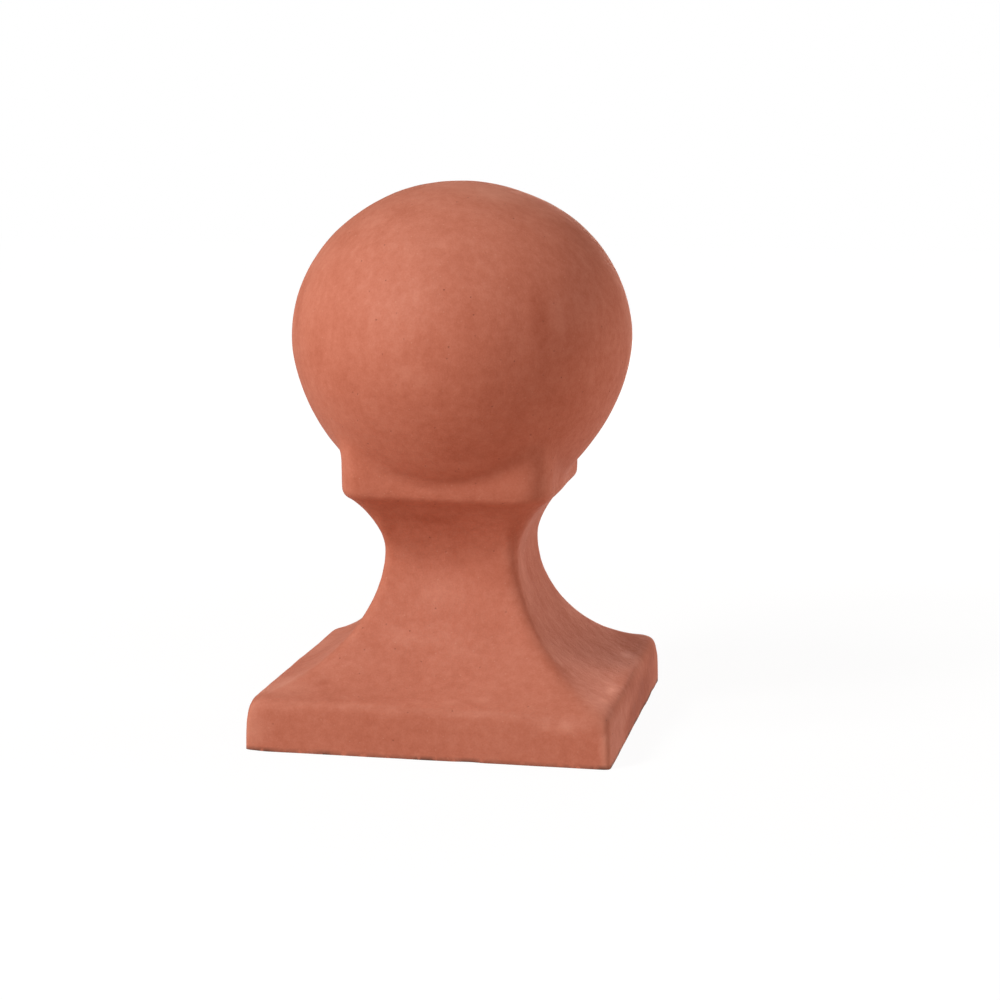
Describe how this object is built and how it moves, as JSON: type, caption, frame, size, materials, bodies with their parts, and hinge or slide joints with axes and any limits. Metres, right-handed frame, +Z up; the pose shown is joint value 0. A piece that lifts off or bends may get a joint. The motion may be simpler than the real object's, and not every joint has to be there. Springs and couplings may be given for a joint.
{
  "type": "ball finial",
  "caption": "Terracotta ball finial: a ball seated in a square collar on a waisted neck that flares to a square slab.",
  "frame": {"origin": "middle of the slab's flat underside, where the finial stands on its pier", "axes": "+Z up through the middle of the ball; -Y towards the front face of the slab, +X to its right"},
  "size_m": [0.3, 0.3, 0.453],
  "materials": {
    "terracotta": "matte"
  },
  "bodies": {
    "root": {"ball_finial": "terracotta"}
  },
  "joints": []
}
